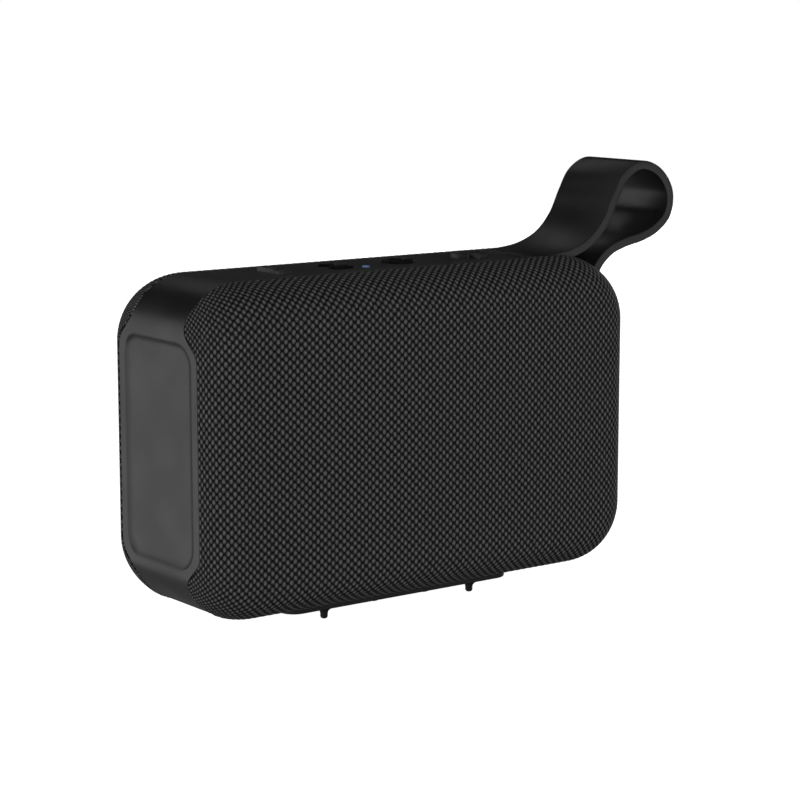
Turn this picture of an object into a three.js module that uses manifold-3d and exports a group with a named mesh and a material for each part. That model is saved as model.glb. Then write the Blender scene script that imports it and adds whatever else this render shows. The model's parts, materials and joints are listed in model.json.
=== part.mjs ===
// Portable shower speaker with a hanging loop.
// Two woven covers on perforated grilles close the front and the back. Between them runs a
// silicone band, moulded in one with the loop, around a sealed two-part enclosure that holds
// two drivers, a passive radiator, the battery and the boards.
// Millimetres. X is the length, Y the depth with the front at -Y, and Z is up.
// Everything is placed from the middle of the enclosure. The group is moved at the end, so
// that the origin lies under the middle of the bounding box, on the plane of the feet.
import * as THREE from "three";
import { mergeVertices } from "three/addons/utils/BufferGeometryUtils.js";
import Module from "manifold-3d";

const wasm = await Module();
wasm.setup();

// Driving dimensions.
const GAP = 0.3;
const BODY = { length: 160, height: 99, depth: 60, corner: 20.5 };

// The front and rear faces round off over an elliptical edge, with this reach and depth.
const EDGE = { reach: 11, depth: 20 };
const HALF = { x: BODY.length / 2, y: BODY.depth / 2, z: BODY.height / 2 };

// How far each layer's outer and inner face lie inside the outside of the woven covers, and how
// much further in its end faces lie.
const COVER = { outer: 0, inner: 0.9, ends: 0 };
const GRILLE = { outer: 1.2, inner: 2.6, ends: 0 };
const BAND = { outer: 0.3, inner: 2.7, ends: 2 };
const CASE = { outer: 3, inner: 5, ends: 2, split: 12 };

// The band is narrow round the corners and wide on the end faces.
const WAIST = { narrow: 29, wide: 43.2, wideTo: 27, narrowFrom: 40 };
const RECESS = { width: 37, height: 68, corner: 7, depth: 0.8, slope: 2 };
const STRAP = { width: 27, thickness: 2.8 };
const PORT = { z: -14, width: 22, height: 13, corner: 3, cover: 1.6 };
const PAD = { length: 84, width: 27, thickness: 2.1, corner: 5 };
const RIDGE = { x: 9.5, length: 25, width: 4.4, height: 0.7 };
const FOOT = { x: 27.6, y: 10.5, height: 3, root: 2.1, waist: 1.15, tip: 0.8 };

const BAND_TOP = HALF.z - BAND.outer;
const CASE_TOP = HALF.z - CASE.inner;
const CASE_END = HALF.x - CASE.ends - CASE.inner;
const RECESS_FLOOR = HALF.x - BAND.ends - BAND.outer - RECESS.depth;
const BUTTON = { flange: 1, gap: 0.6 };
const VOLUME_KEY = { reach: 6.5, arm: 2 };
const KEY_BOARD = { x: [-44, 50], y: [-9.5, 9.5], z: 39.2, thickness: 1.2 };
const SWITCH = { side: 6, height: 1.6, plunger: 1.6 };
const LED = { x: -7.6, y: -4.5, lens: 1.1 };

const DRIVER = { x: 37, opening: 19.8 };
const RADIATOR = { opening: 23.8 };
const POST = { x: 62, z: 33, radius: 4, hole: 1.6, counterbore: 2.9 };
const SCREW = { head: 2.5, headHeight: 2, shank: 1.3, length: 14 };
const CELL = { radius: 9.2, length: 65, y: 1, z: -34 };
const SOCKET = { width: 9.5, height: 3.6, length: 8.6, wall: 0.35 };

// Solids.

function toSolid(geometry) {
  const plain = new THREE.BufferGeometry();
  const flat = geometry.index ? geometry.toNonIndexed() : geometry;
  plain.setAttribute("position", flat.getAttribute("position"));
  const merged = mergeVertices(plain, 1e-4);
  const mesh = new wasm.Mesh({
    numProp: 3,
    vertProperties: merged.getAttribute("position").array,
    triVerts: new Uint32Array(merged.index.array),
  });
  return new wasm.Manifold(mesh);
}

function toGeometry(solid) {
  const mesh = solid.getMesh();
  const geometry = new THREE.BufferGeometry();
  geometry.setAttribute("position", new THREE.BufferAttribute(mesh.vertProperties, 3));
  geometry.setIndex(new THREE.BufferAttribute(mesh.triVerts, 1));
  geometry.computeVertexNormals();
  return geometry;
}

// Extrudes a shape from low to high along one axis. The shape's own axes are (y, z) along x,
// (x, z) along y and (x, y) along z. An edge rounds both ends, over inset in the shape's plane.
function prism(shape, axis, low, high, { edge = 0, inset = edge, steps = 3, curve = 3 } = {}) {
  const geometry = new THREE.ExtrudeGeometry(shape, {
    depth: high - low - 2 * edge,
    curveSegments: curve,
    bevelEnabled: edge > 0,
    bevelThickness: edge,
    bevelSize: inset,
    bevelOffset: -inset,
    bevelSegments: steps,
  });
  geometry.translate(0, 0, edge);
  if (axis === "x") {
    geometry.rotateX(Math.PI / 2);
    geometry.rotateZ(Math.PI / 2);
    geometry.translate(low, 0, 0);
  } else if (axis === "y") {
    geometry.rotateX(Math.PI / 2);
    geometry.translate(0, high, 0);
  } else {
    geometry.translate(0, 0, low);
  }
  return toSolid(geometry);
}

function box(x, y, z) {
  const geometry = new THREE.BoxGeometry(x[1] - x[0], y[1] - y[0], z[1] - z[0]);
  geometry.translate((x[0] + x[1]) / 2, (y[0] + y[1]) / 2, (z[0] + z[1]) / 2);
  return toSolid(geometry);
}

function span(centre, width) {
  return [centre - width / 2, centre + width / 2];
}

// A round bar along one axis, from low to high, through the point (a, b) of the other two axes.
function bar(radius, axis, low, high, a, b, sides = 20) {
  const geometry = new THREE.CylinderGeometry(radius, radius, high - low, sides);
  const middle = (low + high) / 2;
  if (axis === "x") geometry.rotateZ(Math.PI / 2).translate(middle, a, b);
  if (axis === "y") geometry.translate(a, middle, b);
  if (axis === "z") geometry.rotateX(Math.PI / 2).translate(a, b, middle);
  return toSolid(geometry);
}

// Turns a profile of [radius, y] points round the Y axis. A profile goes anticlockwise, and
// closes on itself unless it starts and ends on the axis.
function turned(profile, sides = 20) {
  const points = profile.map(([radius, y]) => new THREE.Vector2(radius, y));
  if (profile[0][0] > 0) points.push(points[0].clone());
  return toSolid(new THREE.LatheGeometry(points, sides));
}

function roundedRect(width, height, radius, x = 0, y = 0) {
  const [left, right] = span(x, width);
  const [bottom, top] = span(y, height);
  const shape = new THREE.Shape();
  shape.moveTo(left + radius, bottom);
  shape.lineTo(right - radius, bottom);
  shape.absarc(right - radius, bottom + radius, radius, -Math.PI / 2, 0);
  shape.lineTo(right, top - radius);
  shape.absarc(right - radius, top - radius, radius, 0, Math.PI / 2);
  shape.lineTo(left + radius, top);
  shape.absarc(left + radius, top - radius, radius, Math.PI / 2, Math.PI);
  shape.lineTo(left, bottom + radius);
  shape.absarc(left + radius, bottom + radius, radius, Math.PI, Math.PI * 1.5);
  return shape;
}

function polygon(points) {
  return new THREE.Shape(points.map(([x, y]) => new THREE.Vector2(x, y)));
}

// The model: one named mesh for each piece.

const speaker = new THREE.Group();

function paint(color, roughness, metalness = 0) {
  return new THREE.MeshStandardMaterial({ color, roughness, metalness });
}

function piece(name, solid, material, group = speaker) {
  const mesh = new THREE.Mesh(toGeometry(solid), material);
  mesh.name = name;
  group.add(mesh);
  return mesh;
}

// The body's outline and layers.

function bodyOutline(inset, ends) {
  const width = BODY.length - 2 * (inset + ends);
  return roundedRect(width, BODY.height - 2 * inset, BODY.corner - inset);
}

function pillow(inset, ends) {
  const reach = HALF.y - inset;
  const edge = { edge: EDGE.depth - inset, inset: EDGE.reach - inset, steps: 5 };
  return prism(bodyOutline(inset, ends), "y", -reach, reach, edge);
}

function layer({ outer, inner, ends }) {
  return pillow(outer, ends).subtract(pillow(inner, ends));
}

// The band's outline across the body.
function waist(grow) {
  const narrow = WAIST.narrow / 2 + grow;
  const wide = WAIST.wide / 2 + grow;
  const middle = (WAIST.wideTo + WAIST.narrowFrom) / 2;
  const top = HALF.z + 1;
  const shape = new THREE.Shape();
  shape.moveTo(narrow, -top);
  shape.lineTo(narrow, -WAIST.narrowFrom);
  shape.bezierCurveTo(narrow, -middle, wide, -middle, wide, -WAIST.wideTo);
  shape.lineTo(wide, WAIST.wideTo);
  shape.bezierCurveTo(wide, middle, narrow, middle, narrow, WAIST.narrowFrom);
  shape.lineTo(narrow, top);
  shape.lineTo(-narrow, top);
  shape.lineTo(-narrow, WAIST.narrowFrom);
  shape.bezierCurveTo(-narrow, middle, -wide, middle, -wide, WAIST.wideTo);
  shape.lineTo(-wide, -WAIST.wideTo);
  shape.bezierCurveTo(-wide, -middle, -narrow, -middle, -narrow, -WAIST.narrowFrom);
  shape.lineTo(-narrow, -top);
  return prism(shape, "x", -HALF.x - 1, HALF.x + 1, { curve: 5 });
}

function halfSpace(side, from) {
  const far = HALF.y + 5;
  const y = side < 0 ? [-far, from] : [from, far];
  return box([-HALF.x - 5, HALF.x + 5], y, [-HALF.z - 5, HALF.z + 5]);
}

function frontOrRear(solid, side) {
  return solid.subtract(waist(GAP)).intersect(halfSpace(side, 0));
}

// Woven covers.

for (const [name, side] of [["front_fabric_cover", -1], ["rear_fabric_cover", 1]]) {
  piece(name, frontOrRear(layer(COVER), side), paint(0x1c1c1e, 0.95));
}

// Grilles: a plate with hexagonal openings in staggered rows behind each cover.

function grilleOpenings(side) {
  const radius = 10;
  const columnPitch = 25;
  const rowPitch = 21;
  const openings = [];
  for (let row = -1; row <= 1; row++) {
    const count = row === 0 ? 5 : 4;
    for (let column = 0; column < count; column++) {
      const x = (column - (count - 1) / 2) * columnPitch;
      const low = side < 0 ? -HALF.y : HALF.y - 10;
      openings.push(bar(radius, "y", low, low + 10, x, row * rowPitch, 6));
    }
  }
  return openings;
}

for (const [name, side] of [["front_grille", -1], ["rear_grille", 1]]) {
  let plate = frontOrRear(layer(GRILLE), side);
  for (const opening of grilleOpenings(side)) plate = plate.subtract(opening);
  piece(name, plate, paint(0x2a2a2c, 0.6));
}

// Buttons: each is a raised symbol that passes through the band and the case top, on a flange
// that holds it in from below. The symbols read upright when the speaker hangs from its loop,
// so their upward direction is +X and their right-hand direction is -Y.

const BUTTONS = [
  { name: "minus_button", x: -37.6, height: 1, symbol: minusSymbol, flange: [8, 15.4] },
  { name: "play_button", x: -15.6, height: 0.4, symbol: playSymbol, flange: [9, 12.6] },
  { name: "power_button", x: 7.9, height: 0.4, symbol: powerSymbol, flange: [12.6, 12.6] },
  { name: "plus_button", x: 35.8, height: 1, symbol: plusSymbol, flange: [15.4, 15.4] },
];

function minusSymbol(grow) {
  return [roundedRect(2 * (VOLUME_KEY.arm + grow), 2 * (VOLUME_KEY.reach + grow), 0.8 + grow)];
}

function plusSymbol(grow) {
  const arm = VOLUME_KEY.arm + grow;
  const reach = VOLUME_KEY.reach + grow;
  const quarter = [[reach, arm], [arm, arm], [arm, reach]];
  const half = [...quarter, ...quarter.map(([x, y]) => [-x, y]).reverse()];
  return [polygon([...half, ...half.map(([x, y]) => [-x, -y])])];
}

function playSymbol(grow) {
  const triangle = polygon([
    [-3.2 - 1.6 * grow, 5 + grow],
    [0, 0.3 - 1.6 * grow],
    [3.2 + 1.6 * grow, 5 + grow],
  ]);
  const bars = [-1.8, -4.4].map((y) => roundedRect(6.4 + 2 * grow, 1.3 + 2 * grow, 0.4 + grow, 0, y));
  return [triangle, ...bars];
}

function powerSymbol(grow) {
  const outer = 5 + grow;
  const inner = 3.6 - grow;
  const opening = 0.6 - grow / inner;
  const ring = new THREE.Shape();
  ring.absarc(0, 0, outer, opening, 2 * Math.PI - opening);
  ring.absarc(0, 0, inner, 2 * Math.PI - opening, opening, true);
  return [ring, roundedRect(5 + 2 * grow, 1.4 + 2 * grow, 0.4 + grow, 3, 0)];
}

function symbolPrisms({ symbol, x }, grow, low, high) {
  return symbol(grow).map((shape) => prism(shape, "z", low, high, { curve: 4 }).translate([x, 0, 0]));
}

function unite(solids) {
  return solids.reduce((sum, solid) => sum.add(solid));
}

const FLANGE_TOP = CASE_TOP - GAP;
const FLANGE_BOTTOM = FLANGE_TOP - BUTTON.flange;

for (const button of BUTTONS) {
  const raised = symbolPrisms(button, 0, FLANGE_TOP - 0.5, BAND_TOP + button.height);
  const plate = roundedRect(...button.flange, 1.5);
  const flange = prism(plate, "z", FLANGE_BOTTOM, FLANGE_TOP, { curve: 2 }).translate([button.x, 0, 0]);
  piece(button.name, unite([...raised, flange]), paint(0x121213, 0.5));
}

// Silicone band and loop, one moulding. The loop is a ribbon that leaves the top tangentially,
// turns round a finger-sized eye and comes back to the top right-hand corner.

const LOOP = new THREE.CatmullRomCurve3(
  [
    [50, BAND_TOP - STRAP.thickness / 2],
    [59, 48],
    [67.2, 49.4],
    [74.6, 52.8],
    [80.4, 58.8],
    [84.3, 66.2],
    [88.2, 72.3],
    [95.2, 75.6],
    [102.8, 73],
    [107.4, 66.6],
    [106.6, 59.4],
    [101.6, 55],
    [95.4, 52.6],
    [88.6, 51.2],
    [82.4, 49],
    [77.6, 45],
    [74.8, 40],
  ].map(([x, z]) => new THREE.Vector3(x, 0, z)),
  false,
  "centripetal",
);

function ribbon(curve, thickness, width, steps) {
  const left = [];
  const right = [];
  for (let i = 0; i <= steps; i++) {
    const at = curve.getPointAt(i / steps);
    const along = curve.getTangentAt(i / steps);
    const across = [(-along.z * thickness) / 2, (along.x * thickness) / 2];
    left.push([at.x + across[0], at.z + across[1]]);
    right.push([at.x - across[0], at.z - across[1]]);
  }
  return prism(polygon([...right, ...left.reverse()]), "y", -width / 2, width / 2);
}

function endRecess(side) {
  const shape = roundedRect(RECESS.width, RECESS.height, RECESS.corner);
  const floor = side * RECESS_FLOOR;
  const low = side < 0 ? floor - 2 * RECESS.depth : floor;
  return prism(shape, "x", low, low + 2 * RECESS.depth, { edge: RECESS.depth, inset: RECESS.slope });
}

function portWindow(grow) {
  const { width, height, corner, z } = PORT;
  return roundedRect(width + 2 * grow, height + 2 * grow, corner + grow, 0, z);
}

const endFaces = prism(bodyOutline(BAND.outer, BAND.ends), "y", -HALF.y, HALF.y);
const bandBlock = pillow(BAND.outer, 0).intersect(endFaces);
const bandHollow = prism(bodyOutline(BAND.inner, BAND.ends), "y", -HALF.y - 1, HALF.y + 1);
let band = bandBlock.subtract(bandHollow).intersect(waist(0));
for (const side of [-1, 1]) band = band.subtract(endRecess(side));
band = band.subtract(prism(portWindow(GAP), "x", 0, HALF.x + 1));
band = band.add(ribbon(LOOP, STRAP.thickness, STRAP.width, 56).subtract(bandHollow));
for (const button of BUTTONS) {
  for (const opening of symbolPrisms(button, GAP, 0, HALF.z + 1)) band = band.subtract(opening);
}
band = band.subtract(bar(LED.lens + GAP, "z", 0, HALF.z + 1, LED.x, LED.y, 12));
piece("silicone_band", band, paint(0x3a3a3c, 0.55));

// Base pad with two low ridges moulded on it, and the four feet under it.

const PAD_TOP = -HALF.z + BAND.outer - GAP;
const PAD_BOTTOM = PAD_TOP - PAD.thickness;
const padShape = roundedRect(PAD.length, PAD.width, PAD.corner);
const ridgeShape = polygon([
  [-RIDGE.width / 2, PAD_BOTTOM + 0.2],
  [-RIDGE.width / 4, PAD_BOTTOM - RIDGE.height],
  [RIDGE.width / 4, PAD_BOTTOM - RIDGE.height],
  [RIDGE.width / 2, PAD_BOTTOM + 0.2],
]);
let pad = prism(padShape, "z", PAD_BOTTOM, PAD_TOP, { edge: 0.6, steps: 2 });
for (const x of [-RIDGE.x, RIDGE.x]) {
  pad = pad.add(prism(ridgeShape, "y", -RIDGE.length / 2, RIDGE.length / 2).translate([x, 0, 0]));
}
piece("base_pad", pad, paint(0x2a2a2c, 0.7));

// A foot is a small peg with a flat tip and a flared root. Its own Y axis points up.
const footProfile = [
  [0, -FOOT.height],
  [FOOT.tip, -FOOT.height],
  [FOOT.waist - 0.1, 0.5 - FOOT.height],
  [FOOT.waist, -1.3],
  [FOOT.waist + 0.3, -0.6],
  [FOOT.root, 0],
  [0, 0],
];
for (const [rowName, y] of [["front", -FOOT.y], ["rear", FOOT.y]]) {
  for (const [sideName, x] of [["left", -FOOT.x], ["right", FOOT.x]]) {
    const foot = piece(`${rowName}_${sideName}_foot`, turned(footProfile, 16), paint(0x1d1d1f, 0.75));
    foot.rotation.x = Math.PI / 2;
    foot.position.set(x, y, PAD_BOTTOM - GAP);
  }
}

// Sealed enclosure: a deep front half and a shallower rear half, with a gasket between them.

const WALL_FACE = HALF.y - CASE.inner;
const POSTS = [[-POST.x, -POST.z], [POST.x, -POST.z], [-POST.x, POST.z], [POST.x, POST.z]];
const SCREW_SEAT = CASE.split + 4;

function caseHalf(side) {
  const from = CASE.split + (side * 2 * GAP);
  const inside = pillow(CASE.inner - 0.5, CASE.ends).intersect(halfSpace(side, from));
  const posts = POSTS.map(([x, z]) => bar(POST.radius, "y", -HALF.y, HALF.y, x, z, 12).intersect(inside));
  return layer(CASE).intersect(halfSpace(side, from)).add(unite(posts));
}

let frontCase = caseHalf(-1);
for (const x of [-DRIVER.x, DRIVER.x]) {
  frontCase = frontCase.subtract(bar(DRIVER.opening, "y", -HALF.y, -WALL_FACE + 1, x, 0, 24));
}
for (const [x, z] of POSTS) {
  frontCase = frontCase.subtract(bar(POST.hole, "y", 0, HALF.y, x, z, 12));
}
for (const button of BUTTONS) {
  for (const opening of symbolPrisms(button, GAP, 0, HALF.z + 1)) frontCase = frontCase.subtract(opening);
}
frontCase = frontCase.subtract(bar(LED.lens + GAP, "z", 0, HALF.z + 1, LED.x, LED.y, 12));
const socketHole = roundedRect(SOCKET.width + 2 * GAP, SOCKET.height + 2 * GAP, 1.6, 0, PORT.z);
frontCase = frontCase.subtract(prism(socketHole, "x", 0, HALF.x + 1));
piece("front_enclosure", frontCase, paint(0x202022, 0.5));

let rearCase = caseHalf(1);
rearCase = rearCase.subtract(bar(RADIATOR.opening, "y", WALL_FACE - 1, HALF.y, 0, 0, 24));
for (const [x, z] of POSTS) {
  rearCase = rearCase.subtract(bar(POST.hole, "y", 0, HALF.y, x, z, 12));
  rearCase = rearCase.subtract(bar(POST.counterbore, "y", SCREW_SEAT - GAP, HALF.y, x, z, 12));
}
piece("rear_enclosure", rearCase, paint(0x202022, 0.5));

const gasketRing = prism(bodyOutline(CASE.outer + 0.2, CASE.ends), "y", CASE.split - GAP, CASE.split + GAP);
const gasketHole = prism(bodyOutline(CASE.inner - 0.2, CASE.ends), "y", 0, HALF.y);
piece("enclosure_gasket", gasketRing.subtract(gasketHole), paint(0x0d0d0d, 0.9));

const screwProfile = [
  [0, SCREW_SEAT - SCREW.length],
  [SCREW.shank, SCREW_SEAT - SCREW.length],
  [SCREW.shank, SCREW_SEAT],
  [SCREW.head, SCREW_SEAT],
  [SCREW.head, SCREW_SEAT + SCREW.headHeight],
  [0, SCREW_SEAT + SCREW.headHeight],
];
POSTS.forEach(([x, z], index) => {
  const screw = piece(`case_screw_${index + 1}`, turned(screwProfile, 12), paint(0x8d8f93, 0.35, 0.9));
  screw.position.set(x, 0, z);
});

// Full-range drivers. A driver's own Y axis starts at its mounting face and points inwards.

const DRIVER_PARTS = {
  basket: [
    [22.5, 0], [22.5, 1.6], [20.6, 1.8], [17.2, 7.4], [14.6, 8.2], [14.6, 11],
    [13.4, 11], [13.4, 7.2], [16.4, 6.4], [19.6, 1.2], [20.2, 0],
  ],
  yoke_cup: [[0, 15], [10.9, 15], [10.9, 8], [13.1, 8], [13.1, 17], [0, 17]],
  magnet: [[0, 10.9], [8.6, 10.9], [8.6, 14.7], [0, 14.7]],
  pole_plate: [[0, 8.4], [9.3, 8.4], [9.3, 10.6], [0, 10.6]],
  voice_coil: [[9.7, 5.6], [10.4, 5.6], [10.4, 12.6], [9.7, 12.6]],
  spider: [[10.7, 5.8], [13.4, 5.4], [16.1, 5.5], [16.1, 5.9], [13.4, 5.8], [10.7, 6.2]],
  cone: [[9.9, 4.7], [16.4, 1.7], [16.4, 2.3], [9.9, 5.3]],
  surround: [
    [16.7, 1.4], [17.4, 0.4], [19, 0.1], [19.7, 0.2], [19.7, 0.7], [18.9, 0.6], [17.7, 0.9], [16.9, 1.9],
  ],
  dust_cap: [[0, 1.6], [5, 2.2], [9.5, 4], [9.5, 4.5], [5, 2.8], [0, 2.2]],
};

const DRIVER_PAINT = {
  basket: () => paint(0x1a1a1b, 0.45, 0.6),
  yoke_cup: () => paint(0x9a9ca0, 0.35, 0.9),
  magnet: () => paint(0x77797d, 0.3, 0.9),
  pole_plate: () => paint(0x9a9ca0, 0.35, 0.9),
  voice_coil: () => paint(0xb0703c, 0.4, 0.7),
  spider: () => paint(0xb08a4a, 0.95),
  cone: () => paint(0x191a1c, 0.8),
  surround: () => paint(0x0f0f10, 0.7),
  dust_cap: () => paint(0x141416, 0.5),
};

for (const [sideName, x] of [["left", -DRIVER.x], ["right", DRIVER.x]]) {
  const driver = new THREE.Group();
  driver.position.set(x, -WALL_FACE + GAP, 0);
  for (const [name, profile] of Object.entries(DRIVER_PARTS)) {
    piece(`${sideName}_${name}`, turned(profile), DRIVER_PAINT[name](), driver);
  }
  speaker.add(driver);
}

// Passive radiator in the rear wall: the same layout, turned to face backwards.

const radiator = new THREE.Group();
radiator.position.set(0, WALL_FACE - GAP, 0);
radiator.rotation.z = Math.PI;
const radiatorFrame = [[24.4, 0], [27, 0], [27, 2], [24.4, 2]];
const radiatorSurround = [
  [20.3, 0.8], [21.3, 0.1], [23.3, 0.1], [24.1, 0.4], [24.1, 0.9], [23.1, 0.7], [21.5, 0.7], [20.5, 1.3],
];
const radiatorPlate = [[0, 0.6], [20, 0.6], [20, 1.4], [8, 1.4], [8, 4], [0, 4]];
piece("radiator_frame", turned(radiatorFrame, 24), paint(0x1a1a1b, 0.5), radiator);
piece("radiator_surround", turned(radiatorSurround, 24), paint(0x0f0f10, 0.75), radiator);
piece("radiator_plate", turned(radiatorPlate, 24), paint(0x2a2b2e, 0.45, 0.4), radiator);
speaker.add(radiator);

// Battery: one round cell in a cradle on the floor of the enclosure.

function cellBar(grow) {
  const [low, high] = span(0, CELL.length + 2 * grow);
  return bar(CELL.radius + grow, "x", low, high, CELL.y, CELL.z, 24);
}

piece("battery_cell", cellBar(0), paint(0x2f5f8f, 0.4));
const cradleBlock = box(span(0, CELL.length + 6), span(CELL.y, 20), [-CASE_TOP + GAP, CELL.z - 1]);
piece("battery_holder", cradleBlock.subtract(cellBar(GAP)), paint(0x161617, 0.6));

// Boards. The main board stands behind the drivers, the key board lies under the buttons.

const MAIN_BOARD = { x: [-42, 42], y: [6, 7.6], z: [-21, 34] };
piece("main_board", box(MAIN_BOARD.x, MAIN_BOARD.y, MAIN_BOARD.z), paint(0x14452b, 0.5));
const chipY = [MAIN_BOARD.y[0] - GAP - 1.4, MAIN_BOARD.y[0] - GAP];
const moduleY = [MAIN_BOARD.y[1] + GAP, MAIN_BOARD.y[1] + GAP + 2.2];
piece("amplifier_chip", box(span(0, 9), chipY, span(4, 9)), paint(0x101012, 0.4));
piece("wireless_module", box(span(-26, 14), moduleY, span(20, 18)), paint(0x9a9ca0, 0.35, 0.8));

const keyBoardTop = KEY_BOARD.z + KEY_BOARD.thickness;
piece("key_board", box(KEY_BOARD.x, KEY_BOARD.y, [KEY_BOARD.z, keyBoardTop]), paint(0x14452b, 0.5));

const switchBottom = keyBoardTop + GAP;
const plungerTop = FLANGE_BOTTOM - BUTTON.gap;
for (const { name, x } of BUTTONS) {
  const { side, height, plunger } = SWITCH;
  const body = box(span(x, side), span(0, side), [switchBottom, switchBottom + height]);
  const top = bar(plunger, "z", switchBottom + height - 0.2, plungerTop, x, 0, 12);
  piece(name.replace("button", "switch"), body.add(top), paint(0x55565a, 0.4, 0.5));
}

const ledTop = switchBottom + 0.7;
piece("status_led", box(span(LED.x, 1.6), span(LED.y, 1), [switchBottom, ledTop]), paint(0xe8ecf2, 0.3));
const lens = bar(LED.lens, "z", ledTop + GAP, BAND_TOP + 0.1, LED.x, LED.y, 12);
piece("status_light_lens", lens, paint(0x8fb4ff, 0.15));

// Charging port in the right-hand end: socket, its small board, and a hinged sealing cover.

const socketEnd = HALF.x - CASE.ends - CASE.outer - GAP;
const socketX = [socketEnd - SOCKET.length, socketEnd];
const socketShell = roundedRect(SOCKET.width, SOCKET.height, 1.5, 0, PORT.z);
const [mouthWidth, mouthHeight] = [SOCKET.width, SOCKET.height].map((size) => size - 2 * SOCKET.wall);
const mouthShape = roundedRect(mouthWidth, mouthHeight, 1.2, 0, PORT.z);
const mouth = prism(mouthShape, "x", socketX[0] + 1.6, HALF.x);
piece(
  "charging_socket",
  prism(socketShell, "x", socketX[0], socketX[1]).subtract(mouth),
  paint(0xb9bbc0, 0.3, 0.9),
);
const socketBoardTop = PORT.z - SOCKET.height / 2 - GAP;
const socketBoardX = [CASE_END - 16, CASE_END - GAP];
piece(
  "socket_board",
  box(socketBoardX, span(0, 20), [socketBoardTop - 1.2, socketBoardTop]),
  paint(0x14452b, 0.5),
);

const coverInside = RECESS_FLOOR - PORT.cover;
const plugShape = roundedRect(7.6, 1.9, 0.9, 0, PORT.z);
const portPlate = prism(portWindow(0), "x", coverInside, RECESS_FLOOR);
const portPlug = prism(plugShape, "x", coverInside - 1.2, coverInside + 0.2, { curve: 2 });
piece("port_cover", portPlate.add(portPlug), paint(0x303032, 0.6));

// Leads inside the enclosure, from the main board to the drivers and the battery.

function lead(name, points, color) {
  const path = new THREE.CatmullRomCurve3(points.map(([x, y, z]) => new THREE.Vector3(x, y, z)));
  const section = new THREE.Shape();
  section.absarc(0, 0, 0.8, 0, 2 * Math.PI);
  const settings = { steps: 12, curveSegments: 3, extrudePath: path };
  piece(name, toSolid(new THREE.ExtrudeGeometry(section, settings)), paint(color, 0.5));
}

const leadStart = MAIN_BOARD.y[0] - 1.2;
for (const [sideName, side] of [["left", -1], ["right", 1]]) {
  const start = [side * 34, leadStart, 28];
  const end = [side * 37, -9, 15.8];
  lead(`${sideName}_driver_lead`, [start, [side * 34, 0, 29], [side * 36, -6, 24], end], 0x8c1c1c);
}
lead("battery_lead", [[30, leadStart, -14], [36, 1, -17], [40, 0, -26], [36.8, 2, -33]], 0x8c1c1c);

// The origin goes under the middle of the bounding box.

const bounds = new THREE.Box3().setFromObject(speaker);
const middle = bounds.getCenter(new THREE.Vector3());
speaker.position.set(-middle.x, -middle.y, -bounds.min.z);

export default speaker;
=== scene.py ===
"""Portable shower speaker: woven covers, a silicone band with a hanging loop, keys and feet.

Lengths are millimetres times MM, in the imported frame. Shapes are worked out from the middle of
the enclosure, with X along the length, Y towards the back and Z up, and new_piece() then moves
them to the enclosure's place in the frame.
"""

import json
from math import cos, pi, radians, sin

import bpy
import numpy as np
from mathutils import Matrix, Vector


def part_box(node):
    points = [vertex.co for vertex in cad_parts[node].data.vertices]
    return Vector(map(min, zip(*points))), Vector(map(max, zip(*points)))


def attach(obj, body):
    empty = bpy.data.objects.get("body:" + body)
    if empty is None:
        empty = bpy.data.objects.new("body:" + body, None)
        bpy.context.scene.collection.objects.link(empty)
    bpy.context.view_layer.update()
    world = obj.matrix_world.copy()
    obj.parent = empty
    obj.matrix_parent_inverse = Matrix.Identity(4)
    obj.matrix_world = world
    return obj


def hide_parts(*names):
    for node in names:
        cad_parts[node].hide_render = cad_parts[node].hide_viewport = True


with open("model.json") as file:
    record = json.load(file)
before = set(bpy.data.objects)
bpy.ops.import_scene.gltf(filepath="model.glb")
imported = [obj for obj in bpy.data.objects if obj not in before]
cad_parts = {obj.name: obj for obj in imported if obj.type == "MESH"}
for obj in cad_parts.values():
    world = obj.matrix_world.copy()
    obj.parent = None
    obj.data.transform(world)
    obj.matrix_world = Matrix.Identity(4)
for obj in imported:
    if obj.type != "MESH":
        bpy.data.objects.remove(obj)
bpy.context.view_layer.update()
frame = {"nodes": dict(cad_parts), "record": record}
NODES = frame["nodes"]

MM = 0.001
BODY = "speaker_body"

# Clearance round the keys, the lens and the port cover, and between the covers and the band.
GAP = 0.3 * MM

# The enclosure's middle, from the front cover's box, and the body's half sizes round it.
COVER_LOW, COVER_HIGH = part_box("front_fabric_cover")
CENTRE = Vector(((COVER_LOW.x + COVER_HIGH.x) / 2, 0, (COVER_LOW.z + COVER_HIGH.z) / 2))
HALF = Vector((80, 30, 49.5)) * MM
CORNER = 20.5 * MM

# The faces round off over a squarish oval edge: its reach in the face, its depth and its power.
EDGE = {"reach": 14 * MM, "depth": 23 * MM, "power": 2.5}

# The band: its depth under the covers, its thickness, and its half width across the body, which
# is wide up to one height from the middle and narrow from another.
BAND_INSET = 0.3 * MM
BAND_THICKNESS = 2.4 * MM
BAND_TOP = HALF.z - BAND_INSET
WAIST = {"narrow": 14.5 * MM, "wide": 21.6 * MM, "wide_to": 27 * MM, "narrow_from": 40 * MM}

# How far out the band's end faces lie, and their recess, which deepens over its slope.
END_FACE = HALF.x - 2.3 * MM
RECESS = {
    "half_y": 18.3 * MM,
    "half_z": 32.8 * MM,
    "corner": 7 * MM,
    "depth": 0.5 * MM,
    "slope": 3 * MM,
}

# The weave: half the spacing of its flecks across and up, each fleck's share of it, and the mesh
# points to a half spacing. Across the cloth, the flecks stand a little closer towards the right
# (CLOSING, for each metre) and a good deal closer towards both ends (CROWDING, fading over FADE).
# RELIEF is how far the ground lies below the flecks.
PITCH = (1.283 * MM, 1.22 * MM)
CLOSING = 0.85
CROWDING = 0.65
FADE = 9 * MM
FLECK = (0.56, 0.72)
SAMPLES = (3, 2)
RELIEF = 0.14 * MM

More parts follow.
